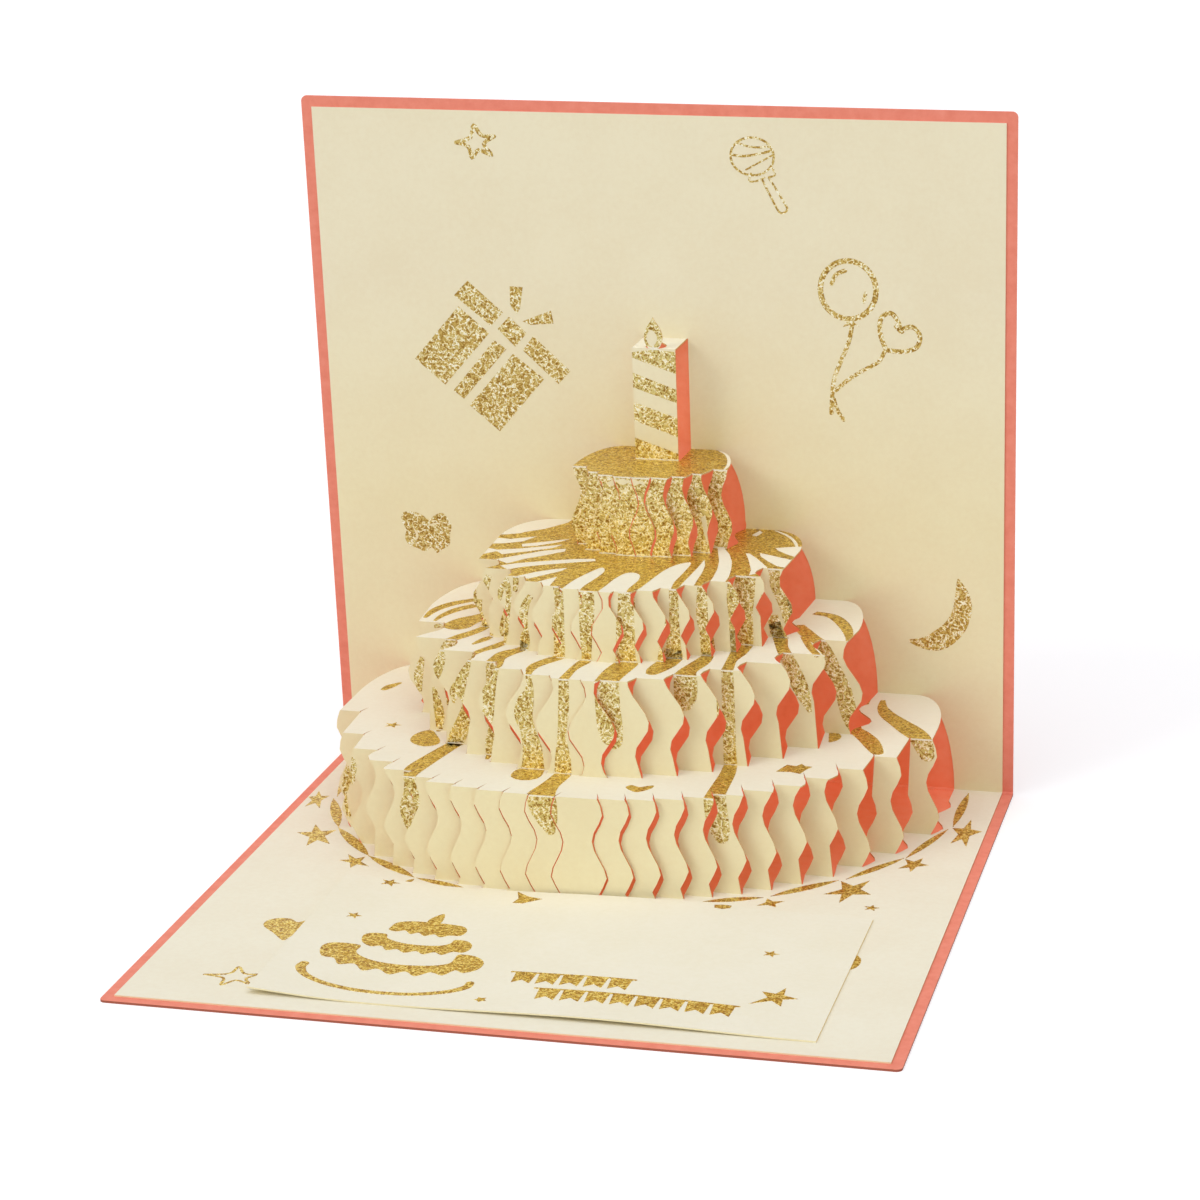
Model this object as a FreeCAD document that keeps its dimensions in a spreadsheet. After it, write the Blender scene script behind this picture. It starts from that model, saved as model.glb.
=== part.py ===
import FreeCAD, Part
import math
import os

# A square pop up card, standing open: a folded cover, one inner sheet that is cut and folded
# into a round cake of four tiers with a candle, and a loose message card lying in front of it.
# Millimetres. X runs along the crease, +Y towards the back panel, +Z up.
# The origin is the middle of the underside of the base panel.

CARD_SIZES = {
    "panel_side": 150.0,
    "cover_thickness": 0.45,
    "sheet_thickness": 0.3,
    "side_margin": 2.25,
    "end_margin": 2.6,
    "lean_angle": 6.0,
    "corner_radius": 1.2,
    "cut_width": 0.25,
    "wave_spacing": 1.9,
    "corner_spacing": 1.6,
    "leg_slant": 0.2,
    "long_edge_slant": 0.6,
    "slit_length": 3.0,
    "slit_drift": 0.8,
    "candle_width": 9.4,
    "candle_depth": 11.0,
    "candle_rise": 24.4,
    "flame_height": 6.7,
    "flame_half_width": 1.9,
    "flame_foot": 1.0,
    "card_width": 107.0,
    "card_length": 61.0,
    "card_thickness": 0.3,
    "card_centre": 4.8,
    "card_back": 80.3,
    "card_clearance": 0.02,
    "left_lift": 1.2,
    "left_wave": 24.0,
    "middle_lift": 0.8,
}

# Each tier: its rise above the tier below, the place of its axis across the card, the place of
# its first cut and the pitch of the cuts (each strip narrower than the last by a little), how
# many cuts each side has, the depth and half width of its rounded front, the roundness of that
# front to the right and, fuller, to the left, the width of the round corner beside the back
# panel and the swing of its wavy cuts.
TIER_SIZES = {
    "tier4": {"rise": 21.6, "axis": -0.7, "first": 4.3, "pitch": 5.33, "narrowing": 0.0, "cuts": 12,
              "reach": 79.5, "spread": 64.85, "right_round": 2.0, "left_round": 3.0, "corner": 7.7, "swing": 1.3},
    "tier3": {"rise": 20.8, "axis": -0.4, "first": 2.8, "pitch": 6.85, "narrowing": 0.094, "cuts": 8,
              "reach": 66.5, "spread": 49.6, "right_round": 1.6, "left_round": 2.1, "corner": 7.0, "swing": 2.0},
    "tier2": {"rise": 15.2, "axis": 0.2, "first": 2.2, "pitch": 4.3, "narrowing": 0.0, "cuts": 8,
              "reach": 53.5, "spread": 38.0, "right_round": 1.6, "left_round": 2.3, "corner": 8.5, "swing": 1.4},
    "tier1": {"rise": 17.4, "axis": 1.6, "first": 1.9, "pitch": 4.1, "narrowing": 0.14, "cuts": 5,
              "reach": 26.3, "spread": 18.6, "right_round": 2.0, "left_round": 3.0, "corner": 6.6, "swing": 1.2},
}

# The wavy cuts: where each swings to, as (share of the strip's height, share of the swing).
# Positive is away from the tier's axis.
WAVES = {
    "tier4": ((0.0, -0.3), (0.17, 1.1), (0.55, -1.0), (0.85, 0.8), (1.0, 0.0)),
    "tier3": ((0.0, -0.25), (0.11, -0.5), (0.43, 1.05), (0.86, -1.0), (1.0, -0.45)),
    "tier2": ((0.0, 0.0), (0.1, -0.7), (0.42, 0.8), (0.82, -1.2), (1.0, -0.5)),
    "tier1": ((0.0, -0.3), (0.27, 0.75), (0.68, -1.1), (1.0, 0.15)),
}
INNER_WAVES = {"tier4": 2, "tier3": 0, "tier2": 0, "tier1": 0}
SLITS = {"tier4": 1.0, "tier3": 0.0, "tier2": 0.0, "tier1": 0.0}

doc = FreeCAD.newDocument("pop_up_card")
sheet = doc.addObject("Spreadsheet::Sheet", "sizes")


def fill_sheet():
    """Write every driving size into the spreadsheet under its own name."""
    cells = dict(CARD_SIZES)
    for tier, row in TIER_SIZES.items():
        for name, value in row.items():
            cells[tier + "_" + name] = value
    for row_number, (name, value) in enumerate(cells.items(), start=1):
        sheet.set("A%d" % row_number, name)
        sheet.set("B%d" % row_number, str(value))
        sheet.setAlias("B%d" % row_number, name)
    doc.recompute()


def size(name):
    return float(sheet.get(name))


fill_sheet()
LEAN = math.radians(size("lean_angle"))
CUT = size("cut_width")
# The sheet's thickness measured along the panels it meets, which lean by the lean angle.
THICK = size("sheet_thickness") / math.cos(LEAN)
# The line where the two visible faces of the inner sheet meet.
CREASE_Y = size("panel_side") / 2 - size("cover_thickness") - THICK * (1 + math.sin(LEAN))
CREASE_Z = size("cover_thickness") + size("sheet_thickness")
UP_THE_BACK = FreeCAD.Vector(0, -math.sin(LEAN), math.cos(LEAN))
BEHIND = FreeCAD.Vector(0, THICK, 0)
BELOW = UP_THE_BACK * -THICK
SHEET_SIDE = size("panel_side") / 2 - size("side_margin")
SHEET_END = size("panel_side") - size("cover_thickness") - size("end_margin")


def point(x, depth, height):
    """A point by its depth in front of the back panel and its height along that panel."""
    foot = FreeCAD.Vector(x, CREASE_Y - depth, CREASE_Z)
    return foot + UP_THE_BACK * height


# The sheet is described as it lies flat: x, and flat = height - depth, which is 0 at the crease,
# positive up the back panel and negative towards the front of the base panel. A fold never
# changes a point's flat value, so the same cut makes the edges of all the panels beside it.


def on_face(depth):
    return lambda x, flat: point(x, depth, flat + depth)


def on_plate(height):
    return lambda x, flat: point(x, height - flat, height)


def panel(runs, place, thickness):
    """One flat panel of the sheet: an outline of runs of (x, flat), placed and thickened.
    A run of more than two points is a smooth curve."""
    edges = []
    for run in runs:
        ends = [place(x, flat) for x, flat in run]
        if len(ends) > 2:
            curve = Part.BSplineCurve()
            curve.interpolate(ends)
            edges.append(curve.toShape())
        elif ends[0].distanceToPoint(ends[1]) > 1e-6:
            edges.append(Part.LineSegment(ends[0], ends[1]).toShape())
    return Part.Face(Part.Wire(edges)).extrude(thickness)


def reverse(runs):
    return [list(reversed(run)) for run in reversed(runs)]


def join(*parts):
    """Chain lists of runs into one open outline, with a straight run across each gap."""
    chain = []
    for part in parts:
        for run in part:
            if chain and run[0] != chain[-1][-1]:
                chain.append([chain[-1][-1], run[0]])
            chain.append(run)
    return chain


def close(chain):
    return chain + [[chain[-1][-1], chain[0][0]]]


class Cut:
    """One cut of a tier: how far it stands from the tier's axis along the flat sheet."""

    def __init__(self, low, start):
        self.pieces = []
        self.low = low
        self.start = start

    def line(self, high, end):
        low, start = self.tip()
        slope = (end - start) / (high - low)
        self.pieces.append((low, high, lambda flat: start + slope * (flat - low), None))

    def wavy(self, high, shape):
        """A run that the cutter follows in short straight steps."""
        self.pieces.append((self.tip()[0], high, shape, "wave_spacing"))

    def rounded(self, high, shape):
        """A run that the cutter follows as one smooth curve."""
        self.pieces.append((self.tip()[0], high, shape, "corner_spacing"))

    def tip(self):
        if not self.pieces:
            return self.low, self.start
        low, high, shape, spacing = self.pieces[-1]
        return high, shape(high)

    def distance(self, flat):
        for low, high, shape, spacing in self.pieces:
            if flat <= high:
                return shape(max(flat, low))
        return self.tip()[1]

    def runs(self, low, high, axis, side, shift):
        """The cut between two flat values, as runs of points, moved away from the axis by shift."""
        def place(flat, shape):
            return (axis + side * (shape(flat) + shift), flat)

        out = []
        if low < self.low:
            start = self.pieces[0][2](self.low)
            out.append([(axis + side * (start + shift), low), (axis + side * (start + shift), self.low)])
        for piece_low, piece_high, shape, spacing in self.pieces:
            first, last = max(low, piece_low), min(high, piece_high)
            if last - first < 1e-6:
                continue
            steps = max(3, round((piece_high - piece_low) / size(spacing))) if spacing else 1
            step = (piece_high - piece_low) / steps
            inside = [piece_low + step * n for n in range(1, steps)]
            flats = [first] + [flat for flat in inside if first + step / 5 < flat < last - step / 5] + [last]
            points = [place(flat, shape) for flat in flats]
            if spacing == "corner_spacing":
                out.append(points)
            else:
                out += [[start, end] for start, end in zip(points, points[1:])]
        last_high, last_distance = self.tip()
        if high > last_high + 1e-6:
            x = axis + side * (last_distance + shift)
            out.append([(x, max(low, last_high)), (x, high)])
        return out


def wave(pattern, swing, place, low, rise):
    """A curve through the pattern's swings, each joined to the next by half a cosine."""
    def shape(flat):
        share = min(max((flat - low) / rise, 0.0), 1.0)
        for (start, first), (end, second) in zip(pattern, pattern[1:]):
            if share <= end:
                turn = (1 - math.cos(math.pi * (share - start) / (end - start))) / 2
                return place + swing * (first + (second - first) * turn)
        return place + swing * pattern[-1][1]
    return shape


class Side:
    """One side of a tier, right (1) or left (-1) of its axis: its strips' depths and its cuts."""

    def __init__(self, name, base, side):
        self.name = name
        self.side = side
        self.axis = size(name + "_axis")
        self.base = base
        self.top = base + size(name + "_rise")
        self.slit = SLITS[name] * size("slit_length")
        self.count = round(size(name + "_cuts"))
        places = [self.place(number) for number in range(self.count)]
        middles = [0.0] + [(a + b) / 2 for a, b in zip(places, places[1:])]
        self.depths = [self.depth(middle) for middle in middles]
        self.cuts = [self.inner_cut(number, places[number]) for number in range(self.count - 1)]
        self.cuts.append(self.outer_cut(places[-1]))

    def own(self, what):
        return size(self.name + "_" + what)

    def place(self, number):
        return self.own("first") + self.own("pitch") * number - self.own("narrowing") * number ** 2

    def depth(self, middle):
        roundness = self.own("right_round" if self.side > 0 else "left_round")
        return self.own("reach") * math.sqrt(1 - (middle / self.own("spread")) ** roundness)

    def inner_cut(self, number, place):
        """A cut between two strips: a straight leg below, the wave, and on the widest steps
        a straight edge above."""
        inner, outer = self.depths[number], self.depths[number + 1]
        on_inner = number >= self.count - 1 - INNER_WAVES[self.name]
        rise = self.own("rise")
        wave_low = self.base - (inner if on_inner else outer)
        shape = wave(WAVES[self.name], self.own("swing"), place, wave_low, rise)
        cut = Cut(self.base - inner, place + size("leg_slant"))
        if not on_inner:
            cut.line(wave_low, shape(wave_low))
        cut.wavy(wave_low + rise, shape)
        if on_inner:
            cut.line(self.top - outer, shape(wave_low + rise) + size("long_edge_slant"))
        return cut

    def outer_cut(self, place):
        """The cut round the tier's side: the wave, a straight edge and the round corner."""
        depth = self.depths[-1]
        corner = self.own("corner")
        low = self.base - depth
        shape = wave(WAVES[self.name], self.own("swing"), place, low, self.own("rise"))
        cut = Cut(low, shape(low))
        cut.wavy(self.top - depth, shape)
        start = max(self.base, self.top - depth + 1.0)
        cut.line(start, place)
        length = self.top - start

        def round_corner(flat):
            share = min((flat - start) / length, 1.0)
            return place - corner + corner * math.sqrt(1 - share ** 2)

        cut.rounded(self.top, round_corner)
        return cut

    def edge(self, number, low, high, shift):
        """The runs of one cut between two flat values, moved away from the axis by shift."""
        return self.cuts[number].runs(low, high, self.axis, self.side, shift)

    def strip_span(self, number):
        return self.base - self.depths[number] - THICK, self.top - self.depths[number]

    def strips(self):
        """The standing strips beside the centre strip, as solids."""
        solids = []
        for number in range(1, self.count):
            low, high = self.strip_span(number)
            outline = join(self.edge(number, low, high, -CUT / 2),
                           reverse(self.edge(number - 1, low, high, CUT / 2)))
            solids.append(panel(close(outline), on_face(self.depths[number]), BEHIND))
        return solids

    def plate_edge(self):
        """The stepped front and the side of the top plate, from the axis to the back panel."""
        edge = []
        for number, depth in enumerate(self.depths):
            front = self.top - depth + THICK
            last = number == self.count - 1
            back = self.top + THICK if last else self.top - self.depths[number + 1] + THICK
            start = edge[-1][-1][0] if edge else self.axis
            edge = join(edge, [[(start, front), (start, front)]], self.edge(number, front, back, -CUT / 2))
            if self.slit and not last:
                near = self.axis + self.side * (self.cuts[number].distance(back) - CUT / 2)
                tip = (near - self.side * size("slit_drift"), back + self.slit)
                edge = join(edge, [[(near, back), tip], [tip, (near + self.side * CUT, back)]])
        return edge

    def foot_edge(self, level_flat):
        """The edge that this side leaves in the surface below, from the back panel to the axis."""
        edge = reverse(self.edge(self.count - 1, self.base - self.depths[-1], level_flat, CUT / 2))
        for number in reversed(range(self.count - 1)):
            low, high = self.base - self.depths[number], self.base - self.depths[number + 1]
            edge = join(edge, reverse(self.edge(number, low, high, CUT / 2)))
        centre = (self.axis, self.base - self.depths[0])
        return join(edge, [[centre, centre]])

    def back_edge(self):
        """The edge that this side leaves in the back panel, from its foot up to its top."""
        return self.edge(self.count - 1, self.base, self.top, CUT / 2)


class Tier:
    """One tier of the cake: strips that stand on the surface at base and a plate at top."""

    def __init__(self, name, base):
        self.right = Side(name, base, 1)
        self.left = Side(name, base, -1)
        self.axis = self.right.axis
        self.top = self.right.top

    def strips(self):
        """The centre strip, which reaches across the axis, and the strips of both sides."""
        low, high = self.right.strip_span(0)
        outline = join(self.right.edge(0, low, high, -CUT / 2), reverse(self.left.edge(0, low, high, -CUT / 2)))
        centre = panel(close(outline), on_face(self.right.depths[0]), BEHIND)
        return [centre] + self.right.strips() + self.left.strips()

    def plate(self, above):
        """The top plate, open towards the back panel where the next tier stands in it."""
        level = self.top + THICK
        opening = join(above.right.foot_edge(level), reverse(above.left.foot_edge(level)))
        outline = join(self.right.plate_edge(), opening, reverse(self.left.plate_edge()))
        return panel(clean(close(outline)), on_plate(self.top), BELOW)


def clean(runs):
    """Leave out runs of no length."""
    return [run for run in runs if len(run) > 2 or run[0] != run[1]]


class CandleSide:
    """One side of the candle, right (1) or left (-1) of its axis."""

    def __init__(self, axis, base, side):
        self.axis = axis
        self.base = base
        self.top = base + size("candle_rise")
        self.side = side

    def edge(self, low, high, shift):
        x = self.axis + self.side * (size("candle_width") / 2 + shift)
        return [[(x, low), (x, high)]]

    def flame_edge(self, shift, foot_flat):
        """Half of the flame's outline, from its foot to its tip."""
        height, half, foot = size("flame_height"), size("flame_half_width"), size("flame_foot")
        low = self.top - size("candle_depth")
        outline = [(foot, 0.0), (half, 0.42), (0.62 * half, 0.72), (0.12 * half, 0.93)]
        points = [(self.axis + self.side * (x + shift), low + height * share) for x, share in outline]
        points[0] = (points[0][0], foot_flat)
        points.append((self.axis, low + height + shift))
        return [points]

    def foot_edge(self, level_flat):
        low = self.base - size("candle_depth")
        return join(reverse(self.edge(low, level_flat, CUT / 2)), [[(self.axis, low), (self.axis, low)]])

    def back_edge(self):
        return self.edge(self.base, self.top, CUT / 2)


class Candle:
    """The candle on the top tier, its face and its flame in one panel, and its top plate."""

    def __init__(self, axis, base):
        self.right = CandleSide(axis, base, 1)
        self.left = CandleSide(axis, base, -1)
        self.base = base
        self.top = self.right.top
        self.depth = size("candle_depth")

    def face(self):
        low, high = self.base - self.depth - THICK, self.top - self.depth
        right, left = [join(side.edge(low, high, -CUT / 2), side.flame_edge(0.0, high))
                       for side in (self.right, self.left)]
        return panel(clean(close(join(right, reverse(left)))), on_face(self.depth), BEHIND)

    def plate(self):
        low, high = self.top - self.depth + THICK, self.top + THICK
        left = self.left.edge(low, high, -CUT / 2)
        right = self.right.edge(low, high, -CUT / 2)
        flame = join(self.right.flame_edge(CUT, low), reverse(self.left.flame_edge(CUT, low)))
        outline = join(left, reverse(right), flame)
        return panel(clean(close(outline)), on_plate(self.top), BELOW)


def base_panel(tier):
    """The inner sheet on the base, with the opening that the lowest tier leaves."""
    corners = [(SHEET_SIDE, THICK), (SHEET_SIDE, -SHEET_END), (-SHEET_SIDE, -SHEET_END), (-SHEET_SIDE, THICK)]
    rim = [[a, b] for a, b in zip(corners, corners[1:])]
    opening = join(tier.left.foot_edge(THICK), reverse(tier.right.foot_edge(THICK)))
    return panel(clean(close(join(rim, opening))), on_plate(0.0), BELOW)


def back_panel(storeys):
    """The inner sheet on the back, with the stepped opening that the cake and candle leave."""
    corners = [(SHEET_SIDE, 0.0), (SHEET_SIDE, SHEET_END), (-SHEET_SIDE, SHEET_END), (-SHEET_SIDE, 0.0)]
    rim = [[a, b] for a, b in zip(corners, corners[1:])]
    right = join(*[storey.right.back_edge() for storey in storeys])
    left = join(*[storey.left.back_edge() for storey in storeys])
    return panel(clean(close(join(rim, left, reverse(right)))), on_face(0.0), BEHIND)


def make_popup_sheet():
    """The whole inner sheet, cake and all: one piece of card stock, cut and folded."""
    tiers = []
    base = 0.0
    for name in TIER_SIZES:
        tiers.append(Tier(name, base))
        base = tiers[-1].top
    storeys = tiers + [Candle(tiers[-1].axis, base)]
    solids = [base_panel(tiers[0]), back_panel(storeys), storeys[-1].face(), storeys[-1].plate()]
    for tier, above in zip(tiers, storeys[1:]):
        solids += tier.strips() + [tier.plate(above)]
    whole = solids[0].multiFuse(solids[1:])
    piece = doc.addObject("Part::Feature", "popup_sheet")
    piece.Label = "popup_sheet"
    piece.Shape = whole.removeSplitter()
    return piece


def make_box(name, lengths, base):
    """A box with its three sizes and its corner bound to the spreadsheet."""
    box = doc.addObject("Part::Box", name)
    for prop, formula in zip(("Length", "Width", "Height"), lengths):
        box.setExpression(prop, formula)
    for axis, formula in zip("xyz", base):
        box.setExpression("Placement.Base." + axis, formula)
    return box


def make_cover():
    """The folded cover: a base panel, a back panel leaning on the crease, and the round spine."""
    half = "sizes.panel_side / 2"
    crease = half + " - sizes.cover_thickness"
    length = "sizes.panel_side - sizes.cover_thickness"
    base = make_box("cover_base", ("sizes.panel_side", length, "sizes.cover_thickness"),
                    ("-" + half, "-" + half, "0"))
    back = make_box("cover_back", ("sizes.panel_side", "sizes.cover_thickness", length),
                    ("-" + half, crease, "sizes.cover_thickness"))
    back.Placement.Rotation = FreeCAD.Rotation(FreeCAD.Vector(1, 0, 0), size("lean_angle"))
    back.setExpression("Placement.Rotation.Angle", "sizes.lean_angle * 1 deg")
    spine = doc.addObject("Part::Cylinder", "cover_spine")
    spine.Placement.Rotation = FreeCAD.Rotation(FreeCAD.Vector(0, 1, 0), 90)
    spine.setExpression("Radius", "sizes.cover_thickness")
    spine.setExpression("Height", "sizes.panel_side")
    for axis, formula in zip("xyz", ("-" + half, crease, "sizes.cover_thickness")):
        spine.setExpression("Placement.Base." + axis, formula)
    whole = doc.addObject("Part::MultiFuse", "cover_whole")
    whole.Shapes = [base, back, spine]
    whole.Refine = True
    doc.recompute()
    cover = doc.addObject("Part::Fillet", "cover")
    cover.Label = "cover"
    cover.Base = whole
    cover.Edges = [(number, size("corner_radius"), size("corner_radius"))
                   for number, edge in enumerate(whole.Shape.Edges, start=1) if is_free_corner(edge)]
    return cover


def is_free_corner(edge):
    """True for the short edges through the card at the four corners away from the crease."""
    middle = edge.CenterOfMass
    through_card = abs(edge.Length - size("cover_thickness")) < 0.01
    at_side = abs(middle.x) > size("panel_side") / 2 - 0.01
    away_from_crease = middle.y < 0 or middle.z > size("panel_side") / 2
    return through_card and at_side and away_from_crease


def card_lift(x):
    """How far the underside of the message card stands off the sheet, x from its left edge."""
    width, left = size("card_width"), size("left_wave")
    if x < left:
        return size("left_lift") * (1 - math.sin(math.pi / 2 * x / left))
    share = (x - left) / (width - left)
    return size("middle_lift") * math.sin(math.pi * share) ** 2


def make_message_card():
    """The loose message card, gently waved, resting on the base in front of the cake."""
    start = size("card_centre") - size("card_width") / 2
    front = CREASE_Y - size("card_back") - size("card_length")
    floor = CREASE_Z + size("card_clearance")
    steps = round(size("card_width") / 6)
    under = []
    for step in range(steps + 1):
        x = size("card_width") * step / steps
        under.append(FreeCAD.Vector(start + x, front, floor + card_lift(x)))
    over = [corner + FreeCAD.Vector(0, 0, size("card_thickness")) for corner in under]
    lower, upper = Part.BSplineCurve(), Part.BSplineCurve()
    lower.interpolate(under)
    upper.interpolate(list(reversed(over)))
    ends = [Part.LineSegment(under[-1], over[-1]).toShape(), Part.LineSegment(over[0], under[0]).toShape()]
    profile = Part.Face(Part.Wire([lower.toShape(), ends[0], upper.toShape(), ends[1]]))
    card = doc.addObject("Part::Feature", "message_card")
    card.Label = "message_card"
    card.Shape = profile.extrude(FreeCAD.Vector(0, size("card_length"), 0))
    return card


pieces = [make_cover(), make_popup_sheet(), make_message_card()]
doc.recompute()

for part in doc.Objects:
    if "Invalid" in part.State or "Error" in part.State:
        raise RuntimeError(part.Name + " failed: " + str(part.State))

os.makedirs("parts", exist_ok=True)
for piece in pieces:
    shape = piece.Shape
    if shape.isNull() or not shape.isValid():
        raise RuntimeError(piece.Label + " has no valid shape")
    shape.exportStep("parts/" + piece.Label + ".step")
    box = shape.BoundBox
    print(piece.Label, "solids", len(shape.Solids), "faces", len(shape.Faces), "volume", round(shape.Volume, 1),
          "box", [round(value, 2) for value in (box.XMin, box.XMax, box.YMin, box.YMax, box.ZMin, box.ZMax)])
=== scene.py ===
import math

import bmesh
import bpy
from mathutils import Vector, Matrix
from mathutils.geometry import delaunay_2d_cdt


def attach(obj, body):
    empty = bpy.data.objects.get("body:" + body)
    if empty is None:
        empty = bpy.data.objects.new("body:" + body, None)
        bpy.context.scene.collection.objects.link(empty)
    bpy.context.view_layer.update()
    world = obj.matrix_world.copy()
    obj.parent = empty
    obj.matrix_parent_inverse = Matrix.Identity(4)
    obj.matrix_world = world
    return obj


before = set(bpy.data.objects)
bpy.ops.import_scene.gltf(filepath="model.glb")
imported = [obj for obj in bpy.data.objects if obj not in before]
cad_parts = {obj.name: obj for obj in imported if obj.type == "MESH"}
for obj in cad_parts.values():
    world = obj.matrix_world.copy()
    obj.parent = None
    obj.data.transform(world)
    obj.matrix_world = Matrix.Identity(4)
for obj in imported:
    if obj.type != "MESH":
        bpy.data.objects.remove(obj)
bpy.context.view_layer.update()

bpy.ops.object.select_all(action="DESELECT")
bpy.context.scene.view_settings.view_transform = "Standard"

# Outer cover
# One sheet of coral coloured card, 0.45 mm thick, scored and folded once along the back of the base.
# Dyed coral with a faint mottle of short fibres; its base panel's cut rim is made a darker coral, painted shade for
# the thin front edge in shadow against the table.


def rgb(red, green, blue):
    """A colour read as 0 to 255 on screen, as the linear value that a shader takes."""
    parts = []
    for value in (red, green, blue):
        value = value / 255
        parts.append(value / 12.92 if value < 0.04045 else ((value + 0.055) / 1.055) ** 2.4)
    return (*parts, 1.0)


def new_material(name, roughness, specular):
    """An empty finish with its shader, its pattern space in metres and its face normal."""
    material = bpy.data.materials.new(name)
    material.use_nodes = True
    tree = material.node_tree
    shader = tree.nodes["Principled BSDF"]
    shader.inputs["Roughness"].default_value = roughness
    shader.inputs["Specular IOR Level"].default_value = specular
    space = tree.nodes.new("ShaderNodeTexCoord")
    return material, tree, shader, space


def add_noise(tree, space, scale, detail, rough):
    noise = tree.nodes.new("ShaderNodeTexNoise")
    noise.inputs["Scale"].default_value = scale
    noise.inputs["Detail"].default_value = detail
    noise.inputs["Roughness"].default_value = rough
    tree.links.new(space.outputs["Object"], noise.inputs["Vector"])
    return noise


def add_ramp(tree, value, stops):
    ramp = tree.nodes.new("ShaderNodeValToRGB")
    while len(ramp.color_ramp.elements) < len(stops):
        ramp.color_ramp.elements.new(0.5)
    for element, (place, colour) in zip(ramp.color_ramp.elements, stops):
        element.position = place
        element.color = colour
    tree.links.new(value, ramp.inputs["Fac"])
    return ramp


def add_mix(tree, factor, first, second):
    mix = tree.nodes.new("ShaderNodeMix")
    mix.data_type = "RGBA"
    tree.links.new(factor, mix.inputs["Factor"])
    for place, value in ((6, first), (7, second)):
        if isinstance(value, tuple):
            mix.inputs[place].default_value = value
        else:
            tree.links.new(value, mix.inputs[place])
    return mix


def add_math(tree, kind, first, second):
    node = tree.nodes.new("ShaderNodeMath")
    node.operation = kind
    for place, value in ((0, first), (1, second)):
        if isinstance(value, float):
            node.inputs[place].default_value = value
        else:
            tree.links.new(value, node.inputs[place])
    return node.outputs[0]


def add_bump(tree, shader, height, strength, distance):
    bump = tree.nodes.new("ShaderNodeBump")
    bump.inputs["Strength"].default_value = strength
    bump.inputs["Distance"].default_value = distance
    tree.links.new(height, bump.inputs["Height"])
    tree.links.new(bump.outputs["Normal"], shader.inputs["Normal"])
    return bump


def finish_node(node, material):
    """Puts a finish on every material slot of a CAD node."""
    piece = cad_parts[node]
    if not piece.material_slots:
        piece.data.materials.append(material)
    for place in piece.material_slots:
        place.material = material


coral_card, tree, shader, space = new_material("coral_card", 0.62, 0.25)
mottle = add_noise(tree, space, 420.0, 6.0, 0.65)
shade = add_ramp(tree, mottle.outputs["Fac"], [
    (0.30, rgb(234, 132, 110)),
    (0.52, rgb(240, 141, 119)),
    (0.75, rgb(244, 150, 129)),
])
fibres = add_noise(tree, space, 2600.0, 4.0, 0.6)
add_bump(tree, shader, fibres.outputs["Fac"], 0.25, 0.00004)
# painted light: the inner face behind the cake glows with a faint coral emission, standing in for light that comes
# through the thin sheet
CAKE_HALF_WIDTH, CAKE_HEIGHT, CAKE_REACH = 0.0695, 0.12, 0.07
RIM_HEIGHT = 0.00046
PAINTED_GLOW_STRENGTH = 0.14
place = tree.nodes.new("ShaderNodeSeparateXYZ")
tree.links.new(space.outputs["Object"], place.inputs["Vector"])
face = tree.nodes.new("ShaderNodeNewGeometry")
facing = tree.nodes.new("ShaderNodeSeparateXYZ")
tree.links.new(face.outputs["True Normal"], facing.inputs["Vector"])
inward = add_math(tree, "MAXIMUM", add_math(tree, "MULTIPLY", facing.outputs["Y"], -1.0), facing.outputs["Z"])
inner = add_math(tree, "GREATER_THAN", inward, 0.5)
level = add_math(tree, "ABSOLUTE", facing.outputs["Z"], 0.0)
# painted shade: upright faces lower than the sheet's thickness, the base panel's cut rim, are mixed to a darker coral
is_rim = add_math(tree, "MULTIPLY", add_math(tree, "LESS_THAN", level, 0.5),
                  add_math(tree, "LESS_THAN", place.outputs["Z"], RIM_HEIGHT))
cover_tone_and_rim_shade = add_mix(tree, is_rim, shade.outputs["Color"], rgb(168, 92, 70))
tree.links.new(cover_tone_and_rim_shade.outputs[2], shader.inputs["Base Color"])
for axis, kind, limit in (("X", "LESS_THAN", CAKE_HALF_WIDTH), ("X", "GREATER_THAN", -CAKE_HALF_WIDTH),
                          ("Z", "LESS_THAN", CAKE_HEIGHT), ("Y", "GREATER_THAN", -CAKE_REACH)):
    inner = add_math(tree, "MULTIPLY", inner, add_math(tree, kind, place.outputs[axis], limit))
# painted light: an orange emission on that inner face, though it is no lamp
shader.inputs["Emission Color"].default_value = (1.0, 0.23, 0.03, 1.0)
tree.links.new(add_math(tree, "MULTIPLY", inner, PAINTED_GLOW_STRENGTH), shader.inputs["Emission Strength"])
finish_node("cover", coral_card)

# Inner sheet and message card
# Cream card, cut by laser: the inner sheet is one piece with its tiers and candle pushed forward.
# The cut rims are scorched a light brown, and the faces have a soft uncoated tooth.


# painted shade: upright faces of the cream card are multiplied by a tint that leaves them darker than level faces,
# and yellower from 110 mm down to 60 mm, for the warm shade among the tiers
SHADE_TINT_START, SHADE_TINT_SPAN = 0.06, 0.05
LOW_SHADE_TINT = (0.998, 0.958, 0.77, 1.0)


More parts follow.
